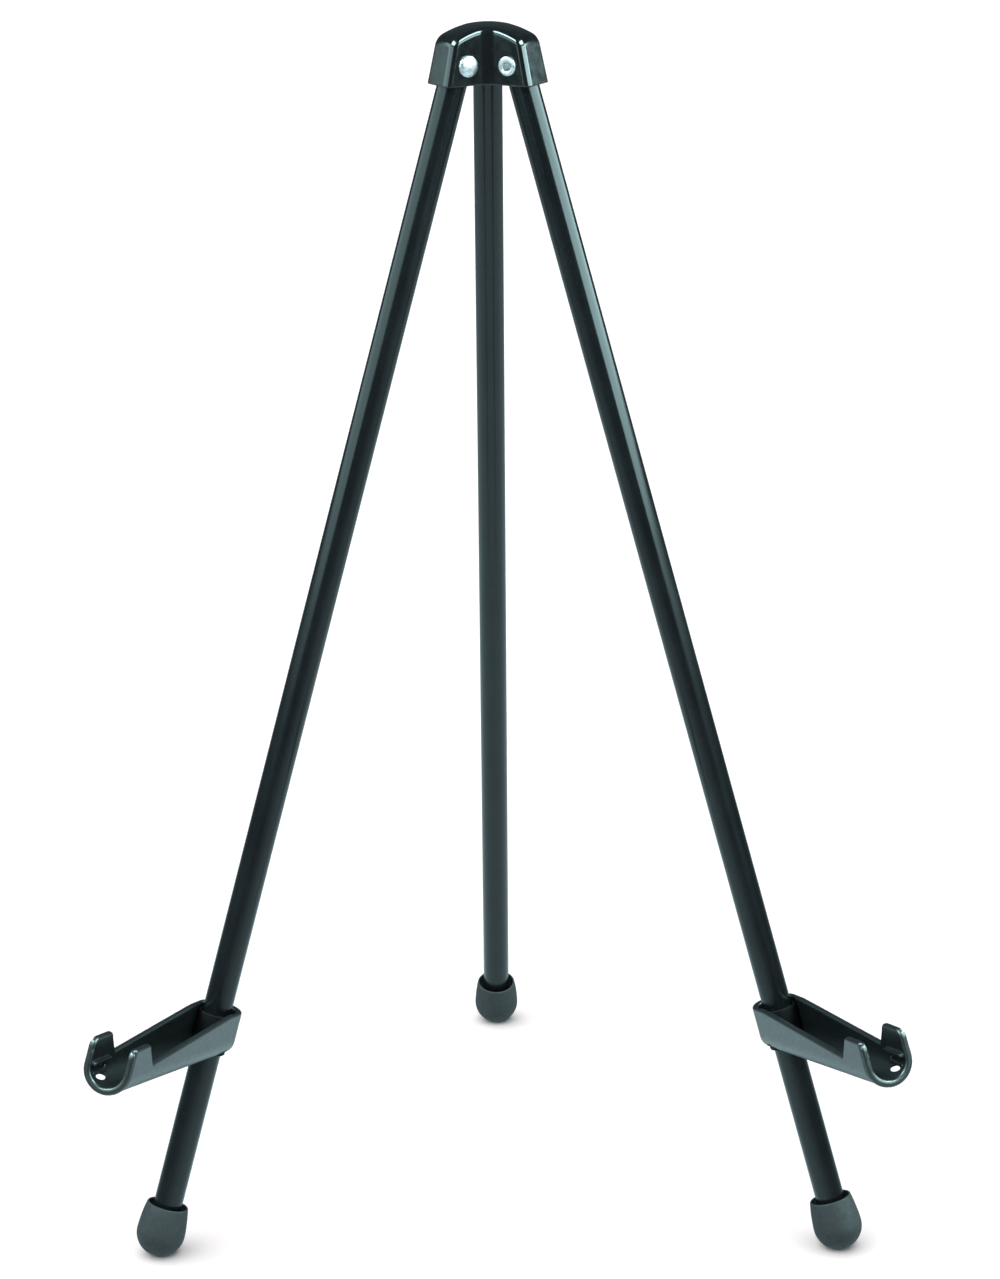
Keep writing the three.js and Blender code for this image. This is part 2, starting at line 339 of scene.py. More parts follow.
def outline_distance(x, z, points):
    """Signed distance to a closed outline drawn in the XZ plane."""
    best = np.inf
    inside = np.zeros(np.broadcast(x, z).shape, bool)
    for (x0, z0), (x1, z1) in zip(points, points[1:] + points[:1]):
        ex, ez = x1 - x0, z1 - z0
        t = np.clip(((x - x0) * ex + (z - z0) * ez) / (ex * ex + ez * ez), 0, 1)
        best = np.minimum(best, np.hypot(x - x0 - t * ex, z - z0 - t * ez))
        if ez:
            crosses = (z0 > z) != (z1 > z)
            inside = inside ^ (crosses & (x < x0 + (z - z0) * ex / ez))
    return np.where(inside, -best, best)


def box_distance(x, y, z, centre, half):
    """Distance to an upright box."""
    qx = np.abs(x - centre[0]) - half[0]
    qy = np.abs(y - centre[1]) - half[1]
    qz = np.abs(z - centre[2]) - half[2]
    outside = np.sqrt(
        np.maximum(qx, 0) ** 2 + np.maximum(qy, 0) ** 2 + np.maximum(qz, 0) ** 2
    )
    return outside + np.minimum(np.maximum(qx, np.maximum(qy, qz)), 0)


def gradient(field, points):
    """The field's slope at each point."""
    slopes = []
    for axis in range(3):
        shift = np.zeros(3)
        shift[axis] = FIELD_PROBE
        ahead = field(*(points + shift).T)
        behind = field(*(points - shift).T)
        slopes.append((ahead - behind) / (2 * FIELD_PROBE))
    return np.stack(slopes, axis=1)


def net_vertices(value, cells):
    """One point in each cell that the surface crosses: the mean of its edge crossings."""
    total = np.zeros((len(cells), 3))
    hits = np.zeros(len(cells))
    for axis in range(3):
        side_a, side_b = [other for other in range(3) if other != axis]
        for a in (0, 1):
            for b in (0, 1):
                start = cells.copy()
                start[:, side_a] += a
                start[:, side_b] += b
                end = start.copy()
                end[:, axis] += 1
                first = value[tuple(start.T)]
                last = value[tuple(end.T)]
                crossed = (first < 0) != (last < 0)
                point = start[crossed].astype(float)
                point[:, axis] += first[crossed] / (first[crossed] - last[crossed])
                total[crossed] += point
                hits[crossed] += 1
    return total / hits[:, None]


def net_faces(solid, index):
    """A quad round each grid edge that the surface crosses."""
    faces = []
    for axis in range(3):
        b, c = (axis + 1) % 3, (axis + 2) % 3
        lower = np.take(solid, range(solid.shape[axis] - 1), axis)
        upper = np.take(solid, range(1, solid.shape[axis]), axis)
        spots = np.argwhere(lower != upper)
        leaving = lower[tuple(spots.T)]
        step_b = np.eye(3, dtype=int)[b]
        step_c = np.eye(3, dtype=int)[c]
        quad = np.stack([
            index[tuple((spots - step_b - step_c).T)],
            index[tuple((spots - step_c).T)],
            index[tuple(spots.T)],
            index[tuple((spots - step_b).T)],
        ], axis=1)
        quad[~leaving] = quad[~leaving][:, ::-1]
        faces.append(quad)
    return np.concatenate(faces)


def field_piece(name, field, low, high, step, matrix, material):
    """A closed mesh on the field's surface, with the field's own slopes as its normals."""
    axes = [np.arange(a - 2 * step, b + 2 * step, step) for a, b in zip(low, high)]
    grid = np.ix_(*axes)
    value = field(*grid)
    solid = value < 0
    filled = sum(
        solid[i:i - 1 or None, j:j - 1 or None, k:k - 1 or None].astype(int)
        for i in (0, 1) for j in (0, 1) for k in (0, 1)
    )
    cells = np.argwhere((filled > 0) & (filled < 8))
    index = np.full(filled.shape, -1)
    index[tuple(cells.T)] = np.arange(len(cells))
    points = np.array([axis[0] for axis in axes]) + step * net_vertices(value, cells)
    for _ in range(FIELD_PULLS):
        slope = gradient(field, points)
        size = np.maximum((slope ** 2).sum(axis=1), FIELD_LEAST_SLOPE)
        move = (field(*points.T) / size)[:, None] * slope
        points -= np.clip(move, -step / 2, step / 2)
    piece = mesh_piece(name, points, net_faces(solid, index).tolist(), matrix, material)
    normals = gradient(field, points)
    normals /= np.maximum(np.linalg.norm(normals, axis=1), 1e-9)[:, None]
    piece.data.normals_split_custom_set_from_vertices(normals.tolist())
    return piece


# ---- finishes ------------------------------------------------------------------------

class Finish:
    """One procedural material: a principled shader, and short ways to build its inputs."""

    def __init__(self, name):
        self.material = bpy.data.materials.new(name)
        self.material.use_nodes = True
        self.nodes = self.material.node_tree.nodes
        self.links = self.material.node_tree.links
        self.nodes.clear()
        output = self.nodes.new("ShaderNodeOutputMaterial")
        self.shader = self.nodes.new("ShaderNodeBsdfPrincipled")
        self.links.new(self.shader.outputs["BSDF"], output.inputs["Surface"])
        self.place = self.nodes.new("ShaderNodeTexCoord").outputs["Object"]
        self.height = None

    def noise(self, size, detail=4, stretch=(1, 1, 1), offset=(0, 0, 0)):
        """Noise whose features are about size millimetres, drawn out by stretch."""
        mapping = self.nodes.new("ShaderNodeMapping")
        mapping.inputs["Scale"].default_value = [1 / (size * MM * s) for s in stretch]
        mapping.inputs["Location"].default_value = offset
        self.links.new(self.place, mapping.inputs["Vector"])
        texture = self.nodes.new("ShaderNodeTexNoise")
        texture.inputs["Scale"].default_value = 1
        texture.inputs["Detail"].default_value = detail
        self.links.new(mapping.outputs["Vector"], texture.inputs["Vector"])
        return texture.outputs["Fac"]

    def ranged(self, value, low, high, start=0.3, stop=0.7):
        """A value from start to stop, stretched to run from low to high."""
        node = self.nodes.new("ShaderNodeMapRange")
        node.inputs["From Min"].default_value = start
        node.inputs["From Max"].default_value = stop
        node.inputs["To Min"].default_value = low
        node.inputs["To Max"].default_value = high
        self.links.new(value, node.inputs["Value"])
        return node.outputs["Result"]

    def times(self, a, b):
        """The product of two values."""
        node = self.nodes.new("ShaderNodeMath")
        node.operation = "MULTIPLY"
        self.links.new(a, node.inputs[0])
        self.links.new(b, node.inputs[1])
        return node.outputs["Value"]

    def edges(self, start, stop):
        """1 on outer edges, 0 on flat faces, broken up by noise: rubbed wear on the cap and feet, a painted
        highlight on the holders.
        """
        shape = self.nodes.new("ShaderNodeNewGeometry").outputs["Pointiness"]
        edge = self.ranged(shape, 0, 1, start, stop)
        patchy = self.ranged(self.noise(1.2, 5), 0, 1, 0.42, 0.62)
        return self.times(edge, patchy)

    def mixed(self, share, first, second):
        """A colour between two, each a tuple or another colour socket."""
        node = self.nodes.new("ShaderNodeMix")
        node.data_type = "RGBA"
        self.links.new(share, node.inputs["Factor"])
        for socket, colour in ((node.inputs[6], first), (node.inputs[7], second)):
            if isinstance(colour, tuple):
                socket.default_value = (*colour, 1)
            else:
                self.links.new(colour, socket)
        return node.outputs[2]

    def bump(self, height, depth):
        """Adds relief depth millimetres high to what is there already."""
        node = self.nodes.new("ShaderNodeBump")
        node.inputs["Strength"].default_value = 1
        node.inputs["Distance"].default_value = depth * MM
        self.links.new(height, node.inputs["Height"])
        if self.height is not None:
            self.links.new(self.height, node.inputs["Normal"])
        self.height = node.outputs["Normal"]

    def done(self, colour, roughness, **fixed):
        """Joins everything up. fixed holds socket values, with _ for each space."""
        self.links.new(colour, self.shader.inputs["Base Color"])
        self.links.new(roughness, self.shader.inputs["Roughness"])
        if self.height is not None:
            self.links.new(self.height, self.shader.inputs["Normal"])
        for name, value in fixed.items():
            self.shader.inputs[name.replace("_", " ")].default_value = value
        return self.material


def cap_enamel():
    """Thick gloss enamel: orange peel, a little haze, dust and rubbed edges."""
    finish = Finish("cap_enamel")
    haze = finish.ranged(finish.noise(9, 3), 0, 1)
    dust = finish.ranged(finish.noise(0.35, 2, offset=(5, 1, 2)), 0, 1, 0.70, 0.78)
    base = finish.mixed(haze, (0.004, 0.006, 0.007), (0.007, 0.011, 0.012))
    base = finish.mixed(dust, base, (0.03, 0.038, 0.04))
    base = finish.mixed(finish.edges(0.56, 0.66), base, (0.05, 0.065, 0.07))
    finish.bump(finish.noise(2.2, 2), 0.006)
    finish.bump(finish.noise(0.4, 2), 0.001)
    roughness = finish.ranged(finish.noise(3, 4), 0.10, 0.19)
    return finish.done(base, roughness, IOR=1.52, Coat_Weight=0.4, Coat_Roughness=0.06)


def tube_enamel():
    """Thinner enamel on drawn tube: streaks run along it, and the gloss comes and goes."""
    finish = Finish("tube_enamel")
    streak = finish.ranged(finish.noise(1.1, 3, (1, 1, 150)), 0, 1)
    mottle = finish.ranged(finish.noise(14, 3), 0, 1)
    speck = finish.ranged(finish.noise(0.5, 2, offset=(3, 7, 1)), 0, 1, 0.69, 0.76)
    scratch = finish.ranged(finish.noise(0.22, 2, (1, 1, 45)), 0, 1, 0.70, 0.76)
    base = finish.mixed(streak, (0.004, 0.007, 0.0085), (0.007, 0.011, 0.013))
    base = finish.mixed(mottle, base, (0.008, 0.013, 0.015))
    base = finish.mixed(speck, base, (0.025, 0.034, 0.037))
    base = finish.mixed(scratch, base, (0.014, 0.02, 0.022))
    finish.bump(finish.noise(3.5, 2), 0.003)
    finish.bump(finish.noise(0.6, 2, (1, 1, 40)), 0.0005)
    roughness = finish.ranged(finish.noise(6, 4, (1, 1, 6)), 0.15, 0.24)
    return finish.done(base, roughness, IOR=1.43, Coat_Weight=0.06, Coat_Roughness=0.1)


def foot_rubber():
    """Moulded rubber: fine grain, chalky patches, paler where it rubs."""
    finish = Finish("foot_rubber")
    patch = finish.ranged(finish.noise(4.5, 5), 0, 1)
    grain = finish.ranged(finish.noise(0.5, 4, offset=(2, 2, 9)), 0, 1)
    base = finish.mixed(patch, (0.008, 0.013, 0.016), (0.020, 0.030, 0.035))
    base = finish.mixed(grain, base, (0.017, 0.027, 0.031))
    base = finish.mixed(finish.edges(0.54, 0.66), base, (0.05, 0.068, 0.073))
    finish.bump(finish.noise(2.2, 4), 0.05)
    finish.bump(finish.noise(0.3, 4), 0.008)
    roughness = finish.ranged(finish.noise(1.5, 4), 0.62, 0.82)
    return finish.done(base, roughness, IOR=1.5)


def holder_plastic():
    """Satin moulded plastic: spark texture, flow marks, and a painted highlight on its outer edges."""
    finish = Finish("holder_plastic")
    flow = finish.ranged(finish.noise(7, 4, (2, 1, 1)), 0, 1)
    fine = finish.ranged(finish.noise(0.6, 4, offset=(4, 0, 3)), 0, 1)
    base = finish.mixed(flow, (0.003, 0.005, 0.006), (0.005, 0.009, 0.010))
    base = finish.mixed(fine, base, (0.006, 0.011, 0.012))
    # Outer edges painted paler: a painted highlight for the light the rims catch, not wear.
    base = finish.mixed(finish.edges(0.53, 0.62), base, (0.055, 0.085, 0.09))
    finish.bump(finish.noise(0.35, 4), 0.010)
    finish.bump(finish.noise(3, 2), 0.006)
    roughness = finish.ranged(finish.noise(1.4, 5), 0.30, 0.39)
    return finish.done(base, roughness, IOR=1.5, Specular_IOR_Level=1.0)


def sleeve_plastic():
    """Dull black nylon with streaks along the tube, painted near-black all over as the shade it sits in inside the
    holder.
    """
    finish = Finish("sleeve_plastic")
    worn = finish.ranged(finish.noise(1.5, 4, (1, 1, 4)), 0, 1)
    # Near-black base, far darker than the washers' nylon: painted shade for the shadow inside the holder.
    base = finish.mixed(worn, (0.0015, 0.002, 0.0025), (0.004, 0.005, 0.006))
    finish.bump(finish.noise(0.3, 4), 0.006)
    roughness = finish.ranged(finish.noise(1, 4), 0.5, 0.65)
    return finish.done(base, roughness, Specular_IOR_Level=0.15)


def rivet_steel():
    """Bright plated steel, with hammer marks from setting and grey tarnish."""
    finish = Finish("rivet_steel")
    tarnish = finish.ranged(finish.noise(1.1, 5), 0, 1, 0.46, 0.72)
    base = finish.mixed(tarnish, (0.84, 0.85, 0.86), (0.46, 0.48, 0.51))
    finish.bump(finish.noise(0.9, 3), 0.035)
    finish.bump(finish.noise(0.15, 3), 0.003)
    roughness = finish.ranged(finish.noise(0.7, 4), 0.22, 0.42)
    return finish.done(base, roughness, Metallic=0.9)


def washer_nylon():
    """Dark moulded nylon with a fine grain."""
    finish = Finish("washer_nylon")
    worn = finish.ranged(finish.noise(0.9, 4), 0, 1)
    base = finish.mixed(worn, (0.014, 0.015, 0.017), (0.028, 0.030, 0.033))
    finish.bump(finish.noise(0.25, 4), 0.006)
    roughness = finish.ranged(finish.noise(1, 4), 0.42, 0.6)
    return finish.done(base, roughness, IOR=1.53)


def floor_paper():
    """Matt white background paper."""
    finish = Finish("floor_paper")
    tone = finish.ranged(finish.noise(400, 3), 0, 1)
    base = finish.mixed(tone, (0.93, 0.93, 0.93), (0.95, 0.95, 0.95))
    roughness = finish.ranged(finish.noise(30, 3), 0.85, 0.95)
    return finish.done(base, roughness, Specular_IOR_Level=0.1)


# ---- cap -----------------------------------------------------------------------------

def cap_size(name, z):
    """A size of the cap's lobes, which narrow evenly from the rim to the shoulder."""
    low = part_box("head_cap")[0].z / MM
    high = cad_high.z / MM - CAP_SHOULDER_BELOW_TOP
    k = (z - low) / (high - low)
    return CAP_RIM[name] + (CAP_SHOULDER[name] - CAP_RIM[name]) * k


def lobed_walls(x, y, z, inset):
    """Three drafted lobes with filleted valleys between them."""
    tip = cap_size("tip", z) - inset
    half = cap_size("half", z) - inset
    walls = None
    for side in LEGS:
        outward = Vector(joints[f"fold_{side}"]["axis"]).cross(UP).normalized()
        along = x * outward.x + y * outward.y
        across = np.abs(y * outward.x - x * outward.y)
        lobe = round_max(along - tip, across - half, max(CAP_CORNER - inset, CAP_LEAST_CORNER))
        lobe = np.maximum(lobe, -along)
        walls = lobe if walls is None else round_min(walls, lobe, CAP_VALLEY + inset)
    return walls


def cap_field(x, y, z):
    """The cap's shell: lobes under a dome, open below, with a hole for each rivet."""
    top = cad_high.z / MM
    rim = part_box("head_cap")[0].z / MM
    middle = top - CAP_DOME_RADIUS
    from_middle = np.sqrt(x * x + y * y + (z - middle) ** 2)
    dome = from_middle - CAP_DOME_RADIUS
    outside = round_max(lobed_walls(x, y, z, 0), dome, CAP_EDGE)
    inside = round_max(lobed_walls(x, y, z, CAP_WALL), dome + CAP_WALL, CAP_EDGE - CAP_WALL)
    shell = np.maximum(outside, -inside)
    for side in LEGS:
        place = leg_frame(side)
        hinge = place.col[1]
        px, py, pz = (place.translation - Vector((easel_axis.x, easel_axis.y, 0))) / MM
        along = (x - px) * hinge.x + (y - py) * hinge.y
        away = (x - px) ** 2 + (y - py) ** 2 + (z - pz) ** 2 - along ** 2
        hole = np.sqrt(np.maximum(away, 0)) - RIVET_RADIUS - CLEARANCE
        shell = np.maximum(shell, -hole)
    return round_max(shell, rim - z, CAP_LIP)


def make_cap(material):
    """The pressed shell that the legs hang from."""
    low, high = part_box("head_cap")
    centre = Matrix.Translation((easel_axis.x, easel_axis.y, 0))
    reach = CAP_RIM["tip"]
    cap = field_piece(
        "cap_shell", cap_field,
        (-reach, -reach, low.z / MM), (reach, reach, high.z / MM),
        CAP_STEP, centre, material,
    )
    hand_over(cap, "head_cap")


# ---- rivets and washers --------------------------------------------------------------

def cap_half_at_pivot():
    """Half a lobe's outside width at the height of the rivets."""
    return cap_size("half", joints["fold_back"]["pos_m"][2] / MM)


def rivet_profile():
    """From the rolled tail's bore, round the roll, up the shank and over the domed head."""
    seat = cap_half_at_pivot() + RIVET_SEAT_GAP
    tail = -seat - RIVET_TAIL["height"]
    roll = (RIVET_TAIL["radius"] + RIVET_TAIL["bore"]) / 2
    roll_half = (RIVET_TAIL["radius"] - RIVET_TAIL["bore"]) / 2
    lip = [
        (roll + roll_half * x, tail + RIVET_TAIL["height"] / 2 * (1 + z))
        for x, z in arc(0, 0, 1, 180, 360, RIVET_STEPS["tail"])
    ]
    head, rise = RIVET_HEAD["radius"], RIVET_HEAD["height"]
    crown = [
        (head * math.cos(a), seat + RIVET_HEAD_EDGE + (rise - RIVET_HEAD_EDGE) * math.sin(a))
        for a in (math.pi / 2 * i / RIVET_STEPS["head"] for i in range(RIVET_STEPS["head"] + 1))
    ]
    crown[-1] = (0, seat + rise)
    bore_end = tail + RIVET_TAIL["depth"]
    shank = [
        (RIVET_TAIL["radius"] - RIVET_UNDERCUT, -seat),
        (RIVET_RADIUS, -seat),
        (RIVET_RADIUS, seat),
        (head - RIVET_UNDERCUT, seat),
    ]
    bore = [(0, bore_end), (RIVET_TAIL["bore"] - RIVET_BORE_DRAFT, bore_end)]
    return bore + lip + shank + crown


def crimp(angle, radius, height):
    """The tail is rolled in five petals, so its bore is not quite round."""
    if height > 0 or radius > RIVET_TAIL["radius"] - 2 * RIVET_UNDERCUT:
        return radius
    inward = 1 - radius / RIVET_TAIL["radius"]
    return radius * (1 + CRIMP["share"] * math.cos(CRIMP["petals"] * angle) * inward)


def make_rivet(side, material):
    """A rivet along its leg's hinge."""
    vertices, faces = lathe(rivet_profile(), SIDES["rivet"], crimp)
    turned = leg_frame(side) @ Matrix.Rotation(-math.pi / 2, 4, "X")
    rivet = mesh_piece(
        f"rivet_{side}", vertices, faces, turned, material, SHARP_ANGLE["rivet"]
    )
    hand_over(rivet, f"pivot_rivet_{side}")


def make_washers(side, material):
    """The two washers midway between the tube and the cap's walls."""
    middle = (cap_half_at_pivot() - CAP_WALL + tube_radius) / 2
    inner = RIVET_RADIUS + CLEARANCE
    half = WASHER["thickness"] / 2
    profile = filleted([
        (inner, -half, 0),
        (WASHER["outer"], -half, WASHER["edge"]),
        (WASHER["outer"], half, WASHER["edge"]),
        (inner, half, 0),
    ], FILLET_STEPS["washer"])
    for letter, direction in (("a", 1), ("b", -1)):
        vertices, faces = closed_lathe(profile, SIDES["washer"])
        shift = Matrix.Translation((0, direction * middle * MM, 0))
        place = leg_frame(side) @ shift @ Matrix.Rotation(-math.pi / 2, 4, "X")
        name = f"washer_{side}_{letter}"
        washer = mesh_piece(name, vertices, faces, place, material, SHARP_ANGLE["washer"])
        hand_over(washer, f"pivot_{name}")


# ---- tubes and feet ------------------------------------------------------------------

def make_tube(side, material):
    """An open tube with its rivet hole drilled through."""
    node = f"leg_tube_{side}"
    radius, bottom, top = local_span(node, leg_frame(side))
    inner = radius - TUBE_WALL
    profile = filleted([
        (inner, bottom, 0),
        (radius, bottom, TUBE_CUT_EDGE),
        (radius, TUBE_RING_AT, 0),
        (radius, top, TUBE_TOP_EDGE),
        (inner, top, TUBE_TOP_EDGE),
        (inner, TUBE_RING_AT, 0),
    ], FILLET_STEPS["tube"])
    vertices, faces = closed_lathe(profile, SIDES["tube"])
    tube = mesh_piece(
        f"tube_{side}", vertices, faces, leg_frame(side), material, SHARP_ANGLE["tube"]
    )
    across = Matrix.Rotation(math.pi / 2, 4, "X")
    drill(tube, RIVET_RADIUS + CLEARANCE, radius + DRILL_OVERSHOOT, across)
    hand_over(tube, node)


def foot_profile():
    """A cup whose wall swells from an open rim to a ball, with a bore for the tube."""
    bore = tube_radius + CLEARANCE / 2
    rim = FOOT_RIM["height"]
    ball = arc(0, 0, FOOT_BALL_RADIUS, -90, 0, FOOT_BALL_STEPS)
    taper = FOOT_BALL_RADIUS - FOOT_RIM["outer"]
    wall = [
        (FOOT_BALL_RADIUS - taper * (k / FOOT_WALL_STEPS) ** FOOT_SWELL,
         rim * k / FOOT_WALL_STEPS)
        for k in range(1, FOOT_WALL_STEPS)
    ]
    mouth = FOOT_RIM["inner"] - FOOT_MOUTH["draft"]
    lip = filleted([
        (*wall[-1], 0),
        (FOOT_RIM["outer"], rim, FOOT_FILLET["outer"]),
        (FOOT_RIM["inner"], rim, FOOT_FILLET["inner"]),
        (mouth, rim - FOOT_MOUTH["depth"], FOOT_FILLET["throat"]),
        (bore, rim - FOOT_MOUTH["throat"], FOOT_FILLET["throat"]),
        (bore, FOOT_BORE_FLOOR, 0),
        (0, FOOT_BORE_FLOOR, 0),
    ], FILLET_STEPS["foot"])
    return [(0, ball[0][1])] + ball[1:] + wall + lip[1:]


def make_foot(side, material):
    """The rubber foot on the end of a tube, standing flat on the floor."""
    place = leg_frame(side) @ Matrix.Translation((0, 0, -leg_length(side) * MM))
    vertices, faces = lathe(foot_profile(), SIDES["foot"])
    foot = mesh_piece(f"foot_{side}", vertices, faces, place, material)
    flatten_on_floor(foot)
    roughen(foot, side)
    foot.data.set_sharp_from_angle(angle=math.radians(SHARP_ANGLE["foot"]))
    hand_over(foot, f"rubber_foot_{side}")


def flatten_on_floor(foot):
    """Cuts the ball off at the floor and closes the cut."""
    back = foot.matrix_world.inverted()
    below = foot.matrix_world.translation.copy()
    below.z = 0
    bm = bmesh.new()
    bm.from_mesh(foot.data)
    cut = bmesh.ops.bisect_plane(
        bm, geom=bm.verts[:] + bm.edges[:] + bm.faces[:],
        plane_co=back @ below, plane_no=back.to_3x3() @ -UP, clear_outer=True,
    )
    edges = [item for item in cut["geom_cut"] if isinstance(item, bmesh.types.BMEdge)]
    bmesh.ops.holes_fill(bm, edges=edges)
    bm.to_mesh(foot.data)
    bm.free()


def roughen(foot, side):
    """Moulded rubber is never quite true: moves the outside in or out by a few hundredths."""
    seed = Vector((len(side) * FOOT_WOBBLE["seed"], 0, 0))
    for vertex in foot.data.vertices:
        outward = Vector((vertex.co.x, vertex.co.y, 0))
        floor_height = (foot.matrix_world @ vertex.co).z
        inside = outward.length < FOOT_WOBBLE["inside"] * MM
        if inside or floor_height < FOOT_WOBBLE["above_floor"] * MM:
            continue
        wobble = noise.noise(vertex.co / (FOOT_WOBBLE["size"] * MM) + seed)
        vertex.co += outward.normalized() * wobble * FOOT_WOBBLE["depth"] * MM


# ---- holders and their sleeves -------------------------------------------------------

def trough(x, y, z, half, turn_in):
    """A bar with a half-round underside that climbs outwards, and a rounded inner end."""
    tip = HOLDER_INNER - HOLDER_HALF
    climb = HOLDER_RISE / (HOLDER_OUTER - tip)
    lift = z - climb * (x - tip) - (HOLDER_HALF - HOLDER_TOP)
    side = np.abs(y) - half
    bar = np.where(lift > 0, side, np.hypot(y, lift) - half)
    plan = np.where(x > HOLDER_INNER, side, np.hypot(x - HOLDER_INNER, y) - half)
    corner = np.maximum(turn_in * (1 - (y / half) ** 2), HOLDER_LEAST_CORNER)
    ended = round_max(bar, plan, corner)
    return np.where(x > HOLDER_INNER, bar, ended)


def side_outline():
    """The walls seen from the side: flat by the tube, down to the notch, then the tab."""
    far_below = -20
    far_in = -20
    return [
        (far_in, far_below),
        (HOLDER_OUTER, far_below),
        *arc(TAB["outer"] - TAB["round"], TAB["up"] - TAB["round"], TAB["round"], 0, 90, 8),
        *arc(TAB["inner"] + TAB["round"], TAB["up"] - TAB["round"], TAB["round"], 90, 160, 7),
        (NOTCH["along"], NOTCH["up"]),
        (HOLDER_FLAT, HOLDER_TOP),
        (far_in, HOLDER_TOP),
    ]


def drain_distance(x, y, z, far):
    """Distance to the slanted oval hole that drains the trough."""
    slope = Vector((DRAIN_SLOPE["along"], far * DRAIN_SLOPE["across"], DRAIN_SLOPE["up"]))
    slope.normalize()
    level = slope.cross(UP).normalized()
    steep = level.cross(slope)
    dx, dy, dz = x - DRAIN["along"], y - far * DRAIN["across"], z - DRAIN["up"]
    through, wide, tall = (
        dx * v.x + dy * v.y + dz * v.z for v in (slope, level, steep)
    )
    oval = np.hypot(wide / DRAIN["wide"], tall / DRAIN["tall"]) - 1
    return np.maximum(oval * DRAIN["tall"], np.abs(through) - DRAIN["reach"])


def holder_field(far):
    """The holder's solid. far is the side of its Y axis that faces away from the front."""
    outline = side_outline()
    inner_half = HOLDER_HALF - HOLDER_WALL

    def field(x, y, z):
        from_end = HOLDER_OUTER - x
        groove_at = END_BEAD["width"] + END_BEAD["groove_width"]
        groove = np.exp(-((from_end - groove_at) / END_BEAD["groove_width"]) ** 2)
        bead = np.clip((END_BEAD["width"] - from_end) / END_BEAD["ramp"] + 0.5, 0, 1)
        outside = trough(x, y, z, HOLDER_HALF, HOLDER_TURN_IN["outside"])
        outside = outside + END_BEAD["groove"] * groove - END_BEAD["proud"] * bead
        bore = np.hypot(x, y) - sleeve_radius - CLEARANCE
        channel = trough(x, y, z, inner_half, HOLDER_TURN_IN["inside"])
        hollow = np.minimum(channel, bore)
        shell = np.maximum(outside, -hollow)
        shell = round_max(shell, outline_distance(x, z, outline), RIM_ROUND)
        for rib in (LEDGE, STEP_RIB):
            centre = ((rib["from"] + rib["to"]) / 2, far * inner_half, rib["up"])
            size = ((rib["to"] - rib["from"]) / 2, rib["depth"], rib["half_height"])
            bar = box_distance(x, y, z, centre, size) - RIB_EDGE
            shell = round_min(shell, bar, RIB_FILLET)
        pit = np.sqrt(
            (x - DIMPLE["along"]) ** 2 + (y - far * inner_half) ** 2 + (z - DIMPLE["up"]) ** 2
        )
        shell = round_max(shell, DIMPLE["radius"] - pit, DIMPLE_EDGE)
        return round_max(shell, -drain_distance(x, y, z, far), HOLE_EDGE)

    return field


def make_holder(side, material):
    """The moulded arm that the board stands on."""
    far = far_side(side)
    half = HOLDER_HALF + END_BEAD["proud"]
    holder = field_piece(
        f"holder_{side}", holder_field(far),
        (HOLDER_INNER - HOLDER_HALF, -half, -HOLDER_TOP), (HOLDER_OUTER, half, TAB["up"]),
        HOLDER_STEP, holder_frame(side), material,
    )
    hand_over(holder, f"board_holder_{side}")


def make_sleeve(side, material):
    """A split ring: a rounded section swept from one side of the slit to the other."""
    node = f"grip_sleeve_{side}"
    _, bottom, top = local_span(node, sleeve_frame(side))
    inner = tube_radius + CLEARANCE
    section = filleted([
        ((inner + sleeve_radius) / 2, bottom, 0),
        (sleeve_radius, bottom, SLEEVE_EDGE),
        (sleeve_radius, top, SLEEVE_EDGE),
        (inner, top, SLEEVE_EDGE),
        (inner, bottom, SLEEVE_EDGE),
        ((inner + sleeve_radius) / 2, bottom, 0),
    ], FILLET_STEPS["sleeve"])[:-1]
    steps = SIDES["sleeve"]
    slit = math.asin(SLEEVE_SLIT / 2 / sleeve_radius)
    vertices = []
    for i in range(steps + 1):
        angle = slit + (2 * math.pi - 2 * slit) * i / steps
        vertices += [(r * math.cos(angle), r * math.sin(angle), z) for r, z in section]
    count = len(section)
    faces = [
        (a * count + i, (a + 1) * count + i,
         (a + 1) * count + (i + 1) % count, a * count + (i + 1) % count)
        for a in range(steps) for i in range(count)
    ]
    faces.append(tuple(range(count)))
    faces.append(tuple(steps * count + i for i in reversed(range(count))))
    place = sleeve_frame(side)
    sharp = SHARP_ANGLE["sleeve"]
    sleeve = mesh_piece(f"sleeve_{side}", vertices, faces, place, material, sharp)
    hand_over(sleeve, node)


# ---- studio --------------------------------------------------------------------------

# Distances and lamp sizes are in metres here, and the lens is in millimetres.
CAMERA = {
    "target": (0, 0, 0.178), "elevation": 16.56, "azimuth": -0.07, "distance": 1.056,
    "roll": -0.56, "lens": 99.4, "shift": (0.0054, -0.0142),
}
ROOM_BELOW = (0.66, 0.94, 1.0)
ROOM_ABOVE = (0.055, 0.08, 0.09)
ROOM_BLEND = (-0.45, -0.1)
KEY_COLOUR = (1.0, 0.95, 0.94)
GLINT_COLOUR = (0.66, 0.98, 1.0)
SKY = {"azimuth": -35, "elevation": 72, "strength": 4.4, "spread": 100}
LAMP_DISTANCE = 1.3
SOFTBOXES = (
    {"name": "panel_right", "azimuth": 77, "elevation": 21, "size": (2.15, 0.5), "power": 32},
    {"name": "panel_left", "azimuth": -77, "elevation": 20, "size": (2.3, 0.6), "power": 12},
    {"name": "strip_right", "azimuth": 66, "elevation": 49, "size": (1.2, 0.4), "power": 36},
    {"name": "strip_left", "azimuth": -66, "elevation": 49, "size": (1.2, 0.4), "power": 34},
)
FLOOR_SIZE = 24


def towards(azimuth, elevation):
    """A direction from the object. Azimuth 0 is the front, and it grows towards +X."""
    a, e = math.radians(azimuth), math.radians(elevation)
    return Vector((math.sin(a) * math.cos(e), -math.cos(a) * math.cos(e), math.sin(e)))


